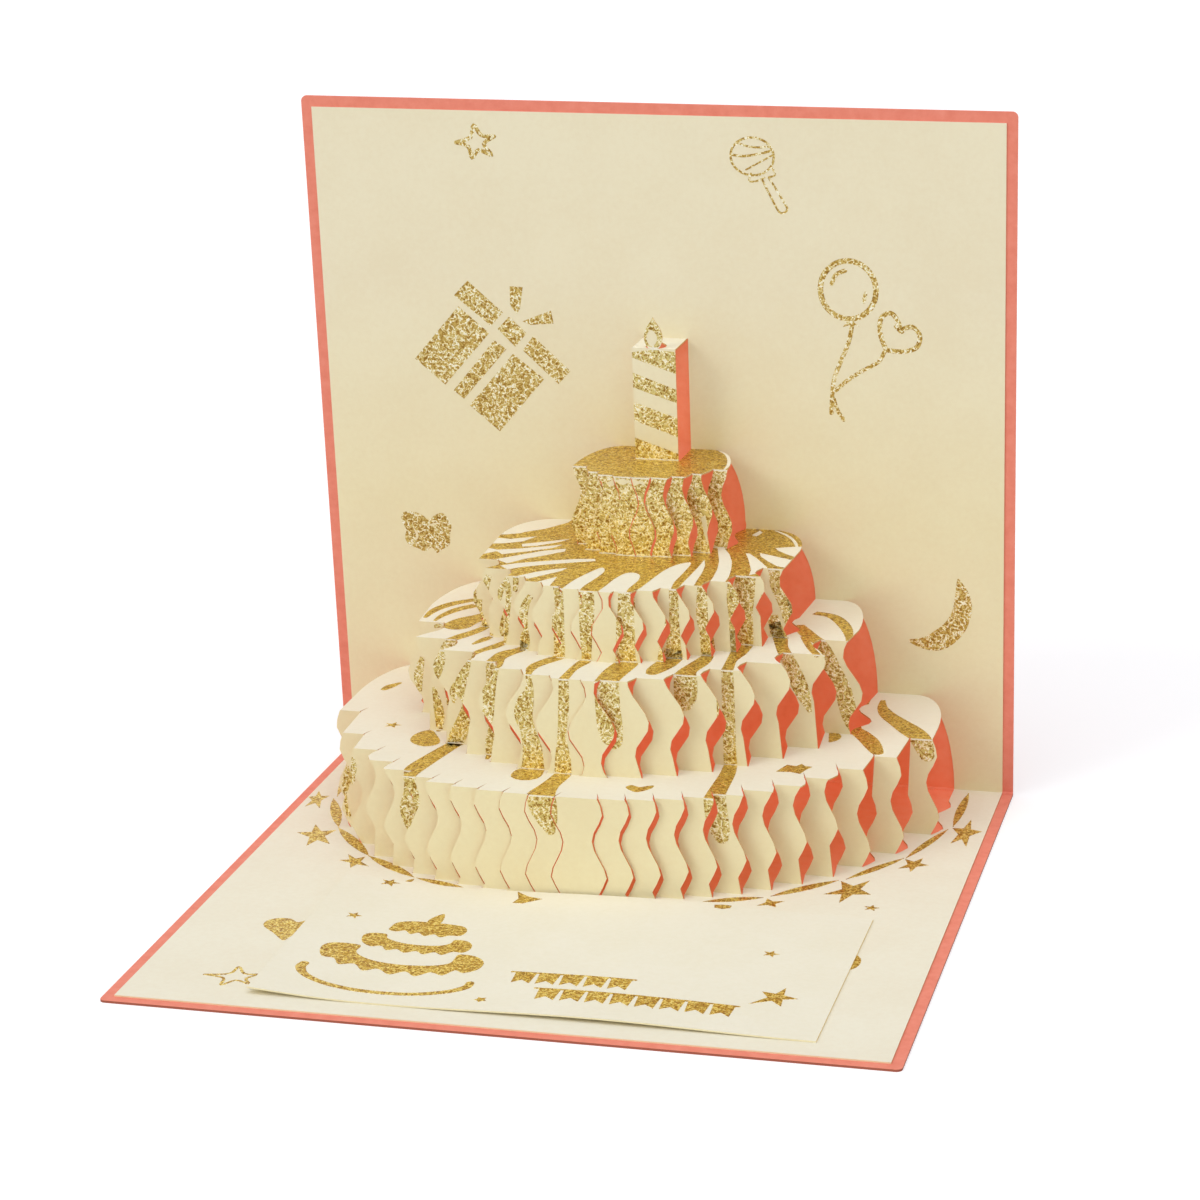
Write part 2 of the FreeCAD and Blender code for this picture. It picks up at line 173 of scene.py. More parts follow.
def make_cream(name, light, dark, rim, upright_shade_tint):
    """A cream card: light and dark of its mottle, its cut rim, and the painted shade tint of its upright faces high
    up; lower down they take a yellower painted shade.
    """
    material, tree, shader, space = new_material(name, 0.72, 0.2)
    cloud = add_noise(tree, space, 60.0, 3.0, 0.5)
    fibre = add_noise(tree, space, 900.0, 5.0, 0.6)
    both = add_math(tree, "ADD", cloud.outputs["Fac"], fibre.outputs["Fac"])
    half = add_math(tree, "MULTIPLY", both, 0.5)
    card = add_ramp(tree, half, [(0.38, dark), (0.62, light)])
    face = tree.nodes.new("ShaderNodeNewGeometry")
    split = tree.nodes.new("ShaderNodeSeparateXYZ")
    tree.links.new(face.outputs["True Normal"], split.inputs["Vector"])
    # painted shade: only upright faces take the tint, which grows yellower towards the bottom
    facing_light_tint = tree.nodes.new("ShaderNodeMix")
    facing_light_tint.data_type = "RGBA"
    facing_light_tint.blend_type = "MULTIPLY"
    tree.links.new(add_math(tree, "LESS_THAN", split.outputs["Z"], 0.6), facing_light_tint.inputs["Factor"])
    tree.links.new(card.outputs["Color"], facing_light_tint.inputs[6])
    place = tree.nodes.new("ShaderNodeSeparateXYZ")
    tree.links.new(space.outputs["Object"], place.inputs["Vector"])
    climb = add_math(tree, "DIVIDE", add_math(tree, "SUBTRACT", place.outputs["Z"], SHADE_TINT_START), SHADE_TINT_SPAN)
    height_shade_tint = add_ramp(tree, climb, [(0.0, LOW_SHADE_TINT), (1.0, upright_shade_tint)])
    tree.links.new(height_shade_tint.outputs["Color"], facing_light_tint.inputs[7])
    side = add_math(tree, "ABSOLUTE", split.outputs["X"], 0.0)
    is_rim = add_math(tree, "GREATER_THAN", side, 0.35)
    mix = add_mix(tree, is_rim, facing_light_tint.outputs[2], rim)
    tree.links.new(mix.outputs[2], shader.inputs["Base Color"])
    tooth = add_noise(tree, space, 3200.0, 4.0, 0.6)
    add_bump(tree, shader, tooth.outputs["Fac"], 0.2, 0.00004)
    return material


cream_card = make_cream("cream_card", rgb(243, 237, 216), rgb(240, 232, 209), rgb(216, 174, 112),
                        (0.985, 0.955, 0.86, 1.0))
message_stock = make_cream("message_stock", rgb(243, 237, 217), rgb(240, 233, 210), rgb(236, 208, 140),
                           (1.0, 1.0, 1.0, 1.0))
finish_node("popup_sheet", cream_card)
finish_node("message_card", message_stock)

# Gold foil on the top tier
# Hot stamped gold foil, a film pressed on the cream sheet before it is cut, over the whole top tier.
# Fine crinkles are drawn in its colour as pale painted highlights and brown painted shade, among pale and brown
# flecks, and it turns pale cream in patches at the folds.

CREASE_Y, CREASE_Z = 0.0742168, 0.00075
LEAN = math.radians(6.0)
UPRIGHT = Vector((0.0, -math.cos(LEAN), -math.sin(LEAN)))
LEVEL = Vector((0.0, 0.0, 1.0))
FOIL_RISE, FOIL_ROOT = 0.000030, 0.000010
FOIL_METAL, FOLD_BAND_HALF = 0.78, 0.0006
SMALLEST_AREA = 0.0002
STOREYS = (("base", 0.0), ("tier_4", 0.0216), ("tier_3", 0.0424), ("tier_2", 0.0576), ("tier_1", 0.0750),
           ("candle", 0.0994))


def make_foil(name, tone, plate_light_tint, folds):
    """Gold foil with its middle tone, its painted light tint on level faces, and the folds at which it turns pale
    cream.
    """
    material, tree, shader, space = new_material(name, 0.34, 0.5)
    shader.inputs["Metallic"].default_value = FOIL_METAL
    warp = add_noise(tree, space, 700.0, 2.0, 0.5)
    bent = tree.nodes.new("ShaderNodeMix")
    bent.data_type = "VECTOR"
    bent.inputs["Factor"].default_value = 0.0012
    tree.links.new(space.outputs["Object"], bent.inputs[4])
    tree.links.new(warp.outputs["Color"], bent.inputs[5])
    cells = tree.nodes.new("ShaderNodeTexVoronoi")
    cells.inputs["Scale"].default_value = 1900.0
    tree.links.new(bent.outputs[1], cells.inputs["Vector"])
    fleck = tree.nodes.new("ShaderNodeSeparateColor")
    tree.links.new(cells.outputs["Color"], fleck.inputs["Color"])
    # painted highlight and painted shade of the crinkles: pale lines and, between them, dark ones, where each noise
    # passes through its middle value; the same lines also drive the bump
    creases = []
    for scale, narrow in ((900.0, 13.0), (1150.0, 15.0)):
        crinkle = add_noise(tree, space, scale, 2.0, 0.5)
        away = add_math(tree, "ABSOLUTE", add_math(tree, "SUBTRACT", crinkle.outputs["Fac"], 0.5), 0.0)
        line = add_math(tree, "SUBTRACT", 1.0, add_math(tree, "MULTIPLY", away, narrow))
        creases.append(add_math(tree, "MAXIMUM", line, 0.0))
    ridge = add_math(tree, "SUBTRACT", add_math(tree, "MULTIPLY", creases[0], 0.50),
                     add_math(tree, "MULTIPLY", creases[1], 0.40))
    shade = add_math(tree, "ADD", add_math(tree, "MULTIPLY", fleck.outputs["Red"], 0.24),
                     add_math(tree, "ADD", ridge, 0.38))
    # the darkest and palest stops are painted shade and painted highlight on the crinkled foil
    ramp = add_ramp(tree, shade, [
        (0.06, rgb(142, 104, 42)),
        (0.28, rgb(176, 138, 62)),
        (0.48, tone),
        (0.62, rgb(224, 204, 134)),
        (0.78, rgb(243, 232, 186)),
        (0.94, rgb(255, 252, 232)),
    ])
    face = tree.nodes.new("ShaderNodeNewGeometry")
    split = tree.nodes.new("ShaderNodeSeparateXYZ")
    tree.links.new(face.outputs["True Normal"], split.inputs["Vector"])
    is_plate = add_math(tree, "GREATER_THAN", split.outputs["Z"], 0.6)
    # painted light: level faces of the foil are multiplied by a tint of their own, for the different light they catch
    facing_light_tint = tree.nodes.new("ShaderNodeMix")
    facing_light_tint.data_type = "RGBA"
    facing_light_tint.blend_type = "MULTIPLY"
    tree.links.new(is_plate, facing_light_tint.inputs["Factor"])
    tree.links.new(ramp.outputs["Color"], facing_light_tint.inputs[6])
    facing_light_tint.inputs[7].default_value = plate_light_tint
    tree.links.new(facing_light_tint.outputs[2], shader.inputs["Base Color"])
    if folds:
        # pale cream, not metallic, near each fold line on the upright faces, in patches
        place = tree.nodes.new("ShaderNodeSeparateXYZ")
        tree.links.new(space.outputs["Object"], place.inputs["Vector"])
        near = None
        for _, height in folds:
            fold = CREASE_Z + height * math.cos(LEAN)
            away = add_math(tree, "ABSOLUTE", add_math(tree, "SUBTRACT", place.outputs["Z"], fold), 0.0)
            close = add_math(tree, "SUBTRACT", 1.0, add_math(tree, "DIVIDE", away, FOLD_BAND_HALF))
            near = close if near is None else add_math(tree, "MAXIMUM", near, close)
        patchy = add_noise(tree, space, 1100.0, 3.0, 0.7)
        fold_patch = add_math(tree, "GREATER_THAN", near, patchy.outputs["Fac"])
        upright = add_math(tree, "SUBTRACT", 1.0, is_plate)
        fold_pale = add_math(tree, "MULTIPLY", fold_patch, upright)
        colour = add_mix(tree, fold_pale, facing_light_tint.outputs[2], rgb(247, 241, 219))
        tree.links.new(colour.outputs[2], shader.inputs["Base Color"])
        metal = add_math(tree, "MULTIPLY", add_math(tree, "SUBTRACT", 1.0, fold_pale), FOIL_METAL)
        tree.links.new(metal, shader.inputs["Metallic"])
    rough = add_math(tree, "ADD", add_math(tree, "MULTIPLY", fleck.outputs["Green"], 0.25), 0.25)
    tree.links.new(rough, shader.inputs["Roughness"])
    relief = add_math(tree, "ADD", ridge, add_math(tree, "MULTIPLY", fleck.outputs["Blue"], 0.6))
    add_bump(tree, shader, relief, 0.55, 0.00012)
    return material


# the same foil in two copies: the cake's paler middle tone and the two level tints are painted light, set to how each
# lies in the light
gold_foil = make_foil("gold_foil", rgb(216, 202, 130), rgb(248, 228, 146), STOREYS[1:])
flat_foil = make_foil("flat_foil", rgb(204, 174, 94), rgb(252, 238, 168), ())


def flat_point(corner):
    """Where a point of the folded sheet lies on the flat sheet: across, and up from the crease, in mm."""
    height = (corner.z - CREASE_Z) / math.cos(LEAN)
    depth = CREASE_Y - corner.y - height * math.sin(LEAN)
    return Vector((corner.x * 1000, (height - depth) * 1000)), depth, height


def printed_side(node):
    """The front and upper triangles of a node: panel name, direction, flat corners and real corners."""
    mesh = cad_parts[node].data
    mesh.calc_loop_triangles()
    found = []
    for triangle in mesh.loop_triangles:
        corners = [mesh.vertices[i].co.copy() for i in triangle.vertices]
        normal = (corners[1] - corners[0]).cross(corners[2] - corners[0])
        if normal.length < 1e-12:
            continue
        normal.normalize()
        middle = sum(corners, Vector()) / 3
        _, depth, height = flat_point(middle)
        if node == "message_card":
            if normal.z < 0.9:
                continue
            flat = [Vector((c.x * 1000, (c.y - CREASE_Y) * 1000)) for c in corners]
            found.append(("message", LEVEL, flat, corners))
            continue
        if normal.dot(UPRIGHT) > 0.999:
            direction = UPRIGHT
            panel = "back" if depth < 0.0005 else None
            for (_, low), (name, high) in zip(STOREYS, STOREYS[1:]):
                if panel is None and height < high:
                    panel = name + "_face"
            panel = panel or "candle_face"
        elif normal.z > 0.999:
            direction = LEVEL
            name = min(STOREYS, key=lambda storey: abs(storey[1] - height))[0]
            panel = name if name == "base" else name + "_plate"
        else:
            continue
        found.append((panel, direction, [flat_point(c)[0] for c in corners], corners))
    return found


sheet_side = printed_side("popup_sheet")
message_side = printed_side("message_card")


def area_of(points):
    return sum(a[0] * b[1] - b[0] * a[1] for a, b in zip(points, points[1:] + points[:1])) / 2


def is_inside(point, triangle):
    return all((b - a).cross(point - a) > -0.001 for a, b in zip(triangle, triangle[1:] + triangle[:1]))


def lay_foil(name, gold, bare=(), panels=None, side=None, finish=gold_foil):
    """Foil inside the gold outlines and outside the bare ones, cut by the sheet's own edges and folds."""
    shapes = [(points, True) for points in gold] + [(points, False) for points in bare]
    low = [min(p[k] for points, _ in shapes for p in points) for k in (0, 1)]
    high = [max(p[k] for points, _ in shapes for p in points) for k in (0, 1)]
    cut_from = [
        t for t in (side or sheet_side)
        if (panels is None or t[0] in panels)
        and all(max(p[k] for p in t[2]) > low[k] and min(p[k] for p in t[2]) < high[k] for k in (0, 1))
        and area_of(t[2]) > SMALLEST_AREA
    ]
    points, faces = [], []
    for _, _, flat, _ in cut_from:
        faces.append(list(range(len(points), len(points) + 3)))
        points.extend(flat)
    for outline, _ in shapes:
        outline = [Vector((p[0], p[1])) for p in outline]
        if area_of(outline) < 0:
            outline.reverse()
        faces.append(list(range(len(points), len(points) + len(outline))))
        points.extend(outline)
    spots, _, pieces, _, _, origins = delaunay_2d_cdt(points, [], faces, 1, 1e-4, True)
    count = len(cut_from)
    panels_made = {}
    for piece, made_from in zip(pieces, origins):
        middle = sum((spots[i] for i in piece), Vector((0.0, 0.0))) / len(piece)
        on_sheet = [i for i in made_from if i < count and is_inside(middle, cut_from[i][2])]
        on_art = [shapes[i - count][1] for i in made_from if i >= count]
        if on_sheet and on_art and all(on_art):
            panel, direction, flat, corners = cut_from[on_sheet[0]]
            _, depth, height = flat_point(sum(corners, Vector()) / 3)
            level = round(depth * 1e5) if direction is UPRIGHT else round(height * 1e5)
            key = panel if panel == "message" else (direction is UPRIGHT, level)
            panels_made.setdefault(key, (direction, []))[1].append((piece, on_sheet[0]))
    shell = bmesh.new()
    for direction, made in panels_made.values():
        top, root = {}, {}

        def corner(i, source):
            if i not in top:
                (a, b, c), real = cut_from[source][2], cut_from[source][3]
                whole = (b - a).cross(c - a)
                u = (b - spots[i]).cross(c - spots[i]) / whole
                v = (c - spots[i]).cross(a - spots[i]) / whole
                place = real[0] * u + real[1] * v + real[2] * (1 - u - v)
                top[i] = shell.verts.new(place + direction * FOIL_RISE)
                root[i] = shell.verts.new(place - direction * FOIL_ROOT)
            return i

        edges = {}
        for piece, source in made:
            ring = [corner(i, source) for i in piece]
            shell.faces.new([top[i] for i in ring])
            shell.faces.new([root[i] for i in reversed(ring)])
            for a, b in zip(ring, ring[1:] + ring[:1]):
                edges[(a, b)] = True
        for a, b in edges:
            if (b, a) not in edges:
                shell.faces.new([top[b], top[a], root[a], root[b]])
    mesh = bpy.data.meshes.new(name)
    shell.to_mesh(mesh)
    shell.free()
    piece = bpy.data.objects.new(name, mesh)
    bpy.context.scene.collection.objects.link(piece)
    mesh.materials.append(finish)
    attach(piece, "root")
    return piece


def curve(points, closed=True, steps=5):
    """A smooth line through points of two or three numbers."""
    count = len(points)
    spans = count if closed else count - 1
    line = []
    for k in range(spans):
        a, b, c, d = (
            points[(k + j - 1) % count] if closed else points[min(max(k + j - 1, 0), count - 1)] for j in range(4)
        )
        for step in range(steps):
            t = step / steps
            line.append(tuple(
                0.5 * (2 * q + (r - p) * t + (2 * p - 5 * q + 4 * r - s) * t * t + (3 * q - p - 3 * r + s) * t ** 3)
                for p, q, r, s in zip(a, b, c, d)
            ))
    if not closed:
        line.append(tuple(points[-1]))
    return line


def drip(stations, head="flat", foot="round"):
    """The outline of a run of icing from stations of across, up and half width."""
    line = curve(stations, closed=False, steps=4)
    left, right = [], []
    for k, (x, y, half) in enumerate(line):
        before, after = line[max(k - 1, 0)], line[min(k + 1, len(line) - 1)]
        dx, dy = after[0] - before[0], after[1] - before[1]
        size = math.hypot(dx, dy) or 1.0
        half = max(half, 0.12)
        left.append((x - dy / size * half, y + dx / size * half))
        right.append((x + dy / size * half, y - dx / size * half))

    def cap(start, end, ahead):
        middle = ((start[0] + end[0]) / 2, (start[1] + end[1]) / 2)
        half = math.hypot(start[0] - end[0], start[1] - end[1]) / 2
        turn = math.atan2(start[1] - middle[1], start[0] - middle[0])
        return [
            (middle[0] + half * math.cos(turn + ahead * math.pi * k / 6),
             middle[1] + half * math.sin(turn + ahead * math.pi * k / 6))
            for k in range(1, 6)
        ]

    outline = list(right)
    if foot == "round":
        outline += cap(right[-1], left[-1], 1)
    outline += list(reversed(left))
    if head == "round":
        outline += cap(left[0], right[0], 1)
    return outline


def stroke(points, half):
    """A pen line of even width with round ends."""
    return drip([(x, y, half) for x, y in points], head="round")


lay_foil(
    "foil_top_tier",
    gold=[[(-26, 30), (26, 30), (26, 77), (-26, 77)]],
    bare=[
        drip([(12.6, 74.4, 0.2), (14.6, 71.8, 0.35), (16.3, 67, 0.35), (17.1, 62, 0.35), (17.0, 58.8, 0.2)]),
        [(12.9, 44.5), (13.4, 41), (14.1, 38.6), (14.3, 42), (13.8, 45.2)],
        # painted highlight: a thin ragged bare strip along the front fold, cream showing through where the foil
        # catches the light
        [(-6.0, 47.9), (-4.8, 47.3), (-3.6, 47.7), (-2.2, 47.0), (-1.0, 47.5), (0.4, 46.9), (1.4, 47.4), (2.6, 47.0),
         (2.2, 47.9), (0.9, 48.0), (0.2, 48.5), (-0.9, 48.0), (-2.1, 48.5), (-3.4, 48.1), (-4.6, 48.6)],
    ],
    panels=("tier_1_plate", "tier_1_face"),
)

# Gold foil on the candle
# The same foil in four slanting stripes round the candle's front, and a ring inside the paper flame.
# The candle's own top and the strip behind the flame stay cream.
lay_foil(
    "foil_candle",
    gold=[
        [(-3.6, 87.3), (0, 88.0), (2.2, 88.6), (3.6, 88.0), (6.6, 87.8), (6.6, 82.9), (-3.6, 86.5)],
        [(-3.6, 83.2), (6.6, 79.5), (6.6, 76.6), (-3.6, 80.0)],
        [(-3.6, 76.8), (6.6, 73.3), (6.6, 69.1), (-3.6, 72.8)],
        [(-3.6, 69.0), (6.6, 65.5), (6.6, 62.0), (-3.6, 62.0)],
        curve([(1.5, 95.2), (3.2, 92.6), (3.5, 90.2), (2.2, 88.5), (0.6, 88.5), (-0.8, 90.2), (-0.4, 92.8)]),
    ],
    bare=[curve([(1.2, 92.4), (2.3, 91.3), (2.3, 89.9), (1.2, 88.9), (0.3, 89.9), (0.3, 91.3)])],
    panels=("candle_face",),
)

# Gold foil on the second tier
# The top plate is foil with wedges of bare cream fanning out from the foot of the tier above.
# Below the plate it runs down the strips in narrow columns.
lay_foil(
    "foil_second_plate",
    gold=[[(-34, 3), (34, 3), (34, 59), (-34, 59)]],
    bare=[
        [(-35, 60), (-19.8, 60), (-20.5, 55), (-24, 49), (-27.5, 45.8), (-28.2, 44.6), (-31, 43), (-35, 42)],
        [(-35, 40.6), (-29, 39.6), (-24, 42.8), (-26, 38.2), (-29.5, 36), (-35, 34.4)],
        [(-25.6, 36.2), (-22.4, 38.2), (-16.6, 42.2), (-18.3, 39.2), (-22, 35.6), (-25, 34.2)],
        [(-30, 30.6), (-25.2, 32.6), (-17.0, 37.4), (-18.5, 34.3), (-23, 30.7), (-27.6, 27.6)],
        [(-27.8, 23.6), (-24, 27.6), (-20, 31.7), (-15.6, 34.4), (-15.3, 32.3), (-19, 28), (-22, 25), (-24.6, 21)],
        [(-35, 25), (-31.5, 27.0), (-28.6, 30.4), (-31, 31.6), (-35, 31)],
        [(-25.6, 19), (-22.5, 21.6), (-17, 24.5), (-11.5, 27), (-7.8, 27.8), (-7.2, 26.2), (-11, 24.5),
         (-16, 21.9), (-20.5, 19.2), (-23.4, 16.6)],
        [(-20.2, 12.0), (-17.3, 15.7), (-14.5, 18.2), (-11.6, 20.0), (-12.2, 17.6), (-14.4, 14.6), (-17.4, 10.6)],
        [(-15.8, 7.4), (-13.5, 11), (-12.0, 13.2), (-11.8, 6), (-13.5, 5)],
        curve([(-8.6, 3), (-8.4, 9), (-7.3, 14.5), (-5.6, 20), (-4.6, 21.6), (-3.6, 19), (-4, 14), (-5, 8),
               (-5.5, 3)]),
        curve([(-1.0, 3), (-0.7, 9), (-0.2, 14), (0.9, 18.2), (2.5, 19.1), (4.1, 17.6), (4.7, 13.5), (4.2, 8),
               (3.9, 3)]),
        curve([(6.1, 4), (6.5, 9), (7.2, 15), (8.1, 21.5), (9.4, 26), (11.2, 28.6), (12.4, 28.2), (12.4, 21),
               (12.1, 14), (12.1, 6)]),
        [(13.8, 9), (14.0, 16), (14.4, 25), (14.5, 31.8), (15.6, 27), (16.1, 22), (16.3, 16), (16.7, 9)],
        [(19.1, 12), (19.0, 19), (18.6, 25), (17.7, 31), (16.5, 36), (15.2, 41.2), (16.7, 41.2), (18.8, 36.4),
         (20.3, 31.4), (21.3, 26), (22.0, 20.5), (22.2, 12)],
        [(21.8, 38.2), (23.2, 34), (24.3, 30), (25.4, 26), (25.8, 22), (28.6, 25.6), (28.2, 28.6), (26.8, 31.2),
         (24.8, 34.8), (22.6, 38.2)],
        [(24.6, 39), (28, 37.2), (33, 34.5), (33, 28.5), (30, 29.8), (27.5, 33), (25.3, 36.5)],
        [(27, 43.4), (29.5, 44.7), (33, 46), (33, 36.8), (30.4, 39), (28.2, 41.3)],
        [(20.2, 52.6), (21.1, 56.6), (22, 55), (21.3, 51.8)],
        drip([(24.3, 57.2, 0.2), (27, 54.4, 0.35), (29, 51.4, 0.35), (30.4, 48, 0.35), (31.3, 45, 0.3)]),
    ],
    panels=("tier_2_plate",),
)
lay_foil(
    "foil_second_runs",
    gold=[
        drip([(-31.7, 14.2, 0.7), (-31.8, 11.5, 0.6), (-30.8, 9, 0.5), (-30.4, 7.6, 0.7)]),
        drip([(-27.4, 15, 0.6), (-28.4, 11.8, 0.8), (-28.3, 8.8, 0.5)]),
        drip([(-23.0, 10.5, 0.6), (-24.0, 7.5, 0.6), (-25.2, 3.5, 0.5), (-24.5, 0.4, 0.5)]),
        drip([(-22.5, 11.6, 0.5), (-22.0, 8.2, 0.6), (-22.6, 3, 0.5), (-22.9, -0.8, 0.4)]),
        drip([(-20.2, 12.4, 0.7), (-20.6, 9, 0.5)]),
        drip([(-16.5, 5.6, 0.6), (-18.0, 2.6, 0.9), (-18.2, -1, 0.8), (-18.4, -4.5, 1.3), (-19.4, -6.6, 1.4)]),
        drip([(13.0, 10.0, 0.9), (13.0, 3.0, 1.0), (12.8, -1.0, 1.3), (12.6, -6.0, 1.8)]),
        drip([(18.2, 12.0, 1.0), (18.0, 6.0, 1.2), (18.5, 2.0, 1.1), (18.9, -4.0, 1.3)]),
        drip([(25.3, 22.5, 2.1), (24.9, 17.5, 2.1), (24.4, 13.0, 2.1), (24.6, 9.0, 2.0), (24.6, 0.0, 1.7)]),
        drip([(29.6, 29.5, 1.0), (30.2, 24.4, 1.3), (31.9, 20.2, 1.3), (32.8, 16.8, 1.3)]),
        drip([(29.3, 17.6, 1.1), (30.0, 14.4, 1.4), (30.9, 11.0, 1.2)]),
    ],
    panels=("tier_2_face",),
)

# Gold foil on the third tier
# Long drips cross the plate from the foot of the second tier and run over the fold down the strips.
# Each ends in a swollen round tip, on the strips or on the plate below.
lay_foil(
    "foil_third_tier",
    gold=[
        drip([(-38.3, 27.4, 1.1), (-42.3, 23.3, 1.3), (-44.6, 18, 1.0), (-45, 12.5, 0.5)]),
        drip([(-37.0, 23.2, 1.3), (-39.9, 19.5, 1.2), (-41.8, 14.5, 0.8), (-42.3, 10.5, 0.4)]),
        curve([(-32.8, 19), (-35.4, 16.0), (-38, 13), (-39.5, 9), (-38.7, 5.6), (-36, 4.9), (-34, 6.6), (-33.2, 10),
               (-32.2, 14)]),
        drip([(-42.3, 8.2, 0.3), (-40.8, 8.8, 0.5), (-39.2, 8.6, 0.4)]),
        drip([(-30.4, 8.6, 0.9), (-31.8, 4.5, 1.2), (-33.6, 1, 1.4), (-35, -1.8, 1.2), (-36.6, -4.2, 1.1),
              (-37.0, -7.6, 1.4), (-36.0, -11, 1.7), (-36.2, -14.6, 0.9), (-36.7, -16.4, 0.3)]),
        drip([(-27.4, 2.2, 0.3), (-28.4, -0.5, 1.0), (-29.8, -4.3, 0.4)]),
        drip([(-23.4, -0.6, 0.8), (-25, -5, 1.2), (-27, -8.5, 0.9), (-28.3, -12.3, 0.9), (-28.6, -16, 1.3),
              (-29.8, -21, 1.2), (-31.3, -25.5, 1.6), (-32.6, -28.5, 1.8), (-33.4, -31, 1.6)]),
        drip([(-32.2, -16.4, 0.4), (-32.9, -18.5, 0.9), (-33.0, -20.8, 0.4)]),
        drip([(-39.6, -12.8, 0.4), (-38.9, -17, 1.0), (-38.7, -20, 1.0), (-39, -23, 0.5)]),
        drip([(-45.2, 1.2, 0.5), (-46.3, -3, 1.0), (-46.2, -6.3, 0.5)]),
        drip([(-18.6, -4.5, 1.3), (-19.6, -6.5, 1.4), (-21.5, -9.5, 1.8), (-22.2, -13, 1.6), (-22.1, -17.8, 2.1),
              (-22.4, -22, 1.6), (-22.7, -27, 1.2), (-23.2, -30.5, 1.2), (-24.4, -34, 0.8), (-24.2, -38.4, 0.4)]),
        drip([(-10, 8, 1.2), (-9.8, 2, 1.1), (-10.1, -4, 1.3), (-10.3, -9.5, 1.4), (-11.5, -11.8, 1.5),
              (-13.3, -15.5, 1.3), (-13.8, -18.5, 1.0), (-13.4, -22, 0.6), (-13.3, -25.5, 0.9), (-14.2, -28, 1.7),
              (-14.8, -31, 1.9), (-14, -34.5, 1.6), (-13.3, -38, 2.0), (-13.3, -42, 2.3), (-13.7, -44.6, 3.0),
              (-13.8, -46.8, 3.1)]),
        drip([(-3.9, 6, 1.7), (-3.8, 0, 1.6), (-4.1, -5, 1.3), (-4.2, -10, 1.0), (-4.6, -12, 1.3), (-5.5, -17, 0.9),
              (-5.7, -23, 1.0), (-6, -30, 1.1), (-6.6, -36, 0.9), (-6.6, -41, 1.6), (-6.8, -46, 1.8),
              (-7.6, -52, 2.0), (-7.9, -57, 2.8), (-7.4, -60.4, 2.9), (-6.6, -63.6, 2.0), (-6.2, -65.3, 1.1)]),
        drip([(4.2, 7, 1.3), (4.1, 2, 1.6), (4, -3, 1.8), (3.9, -9, 1.9), (4, -11.5, 2.5), (3.3, -17, 2.6),
              (3, -22, 2.4), (3, -28, 2.4), (3.3, -33, 2.5), (3.5, -35.6, 2.2)]),
        drip([(12.6, -4, 1.8), (12.4, -6, 2.1), (11.8, -10, 2.3), (10.9, -14, 2.0), (10.6, -16.2, 1.4)]),
        drip([(18.8, -2, 1.1), (18.9, -4, 1.4), (18.4, -8, 1.8), (17.2, -13.5, 1.9), (17.3, -17.5, 2.4),
              (17.2, -21, 2.3), (17, -22.4, 1.7)]),
        drip([(24.6, 6, 1.9), (24.6, 0.5, 1.7), (24.3, -5, 1.1), (24.7, -11, 1.2), (24.8, -20, 1.3),
              (24.9, -31, 1.35), (25.5, -38, 1.6), (25.7, -49, 1.9), (26, -55, 2.1), (26.4, -58, 2.0),
              (26.6, -59.2, 1.5)]),
        drip([(29.6, 16, 1.2), (31.1, 11.5, 1.5), (32.2, 7, 1.3), (33.7, 2.5, 1.4), (35, 0, 1.4), (36.5, -4, 1.7),
              (37.6, -7, 1.3), (38.6, -9.8, 0.5)]),
        drip([(33.0, 22.6, 0.9), (34.3, 19.3, 1.5), (36, 16, 1.7), (37.8, 13.4, 1.5), (39.8, 10.5, 1.7),
              (41.8, 6.2, 1.8), (43.6, 2.2, 1.8), (44.4, -1, 1.8), (45.2, -4.2, 1.7), (47.2, -7, 1.9),
              (49.5, -11, 2.0), (51.2, -15, 1.8), (52.5, -18.4, 1.3)]),
        drip([(35.4, 14.5, 0.8), (37, 10, 0.8), (38.6, 6, 0.8), (40.2, 2.8, 0.8)]),
        drip([(34.4, 31.9, 1.2), (38, 30.6, 1.3), (40.4, 27.5, 1.4), (42.7, 22.5, 1.3), (44.3, 17, 0.9),
              (44.9, 13, 0.5)]),
        drip([(47.9, 16.4, 0.5), (48.6, 11.5, 1.1), (50.6, 6.5, 1.8), (53.6, 2, 2.2), (57, -3, 2.6),
              (59.4, -7, 2.3), (60.6, -10, 1.9), (61, -11.2, 1.6)]),
    ],
    panels=("tier_3_plate", "tier_3_face", "tier_4_plate", "tier_4_face", "tier_2_face"),
)

# Gold foil on the bottom tier
# Two drips reach down its strips, a pool lies on the plate, and small confetti shapes are scattered round.
# All are flat foil marks, no thicker than the film.


def star(x, y, tips, waist):
    """A five pointed star from its tips, clockwise from the top, and the share of the way in to its waist."""
    outline = []
    for k, tip in enumerate(tips):
        after = tips[(k + 1) % len(tips)]
        outline.append(tip)
        middle = ((tip[0] + after[0]) / 2, (tip[1] + after[1]) / 2)
        outline.append((middle[0] + (x - middle[0]) * waist, middle[1] + (y - middle[1]) * waist))
    return outline


def even_star(x, y, size, turn, waist=0.5):
    tips = [
        (x + size * math.sin(math.radians(turn + 72 * k)), y + size * math.cos(math.radians(turn + 72 * k)))
        for k in range(5)
    ]
    return star(x, y, tips, waist)


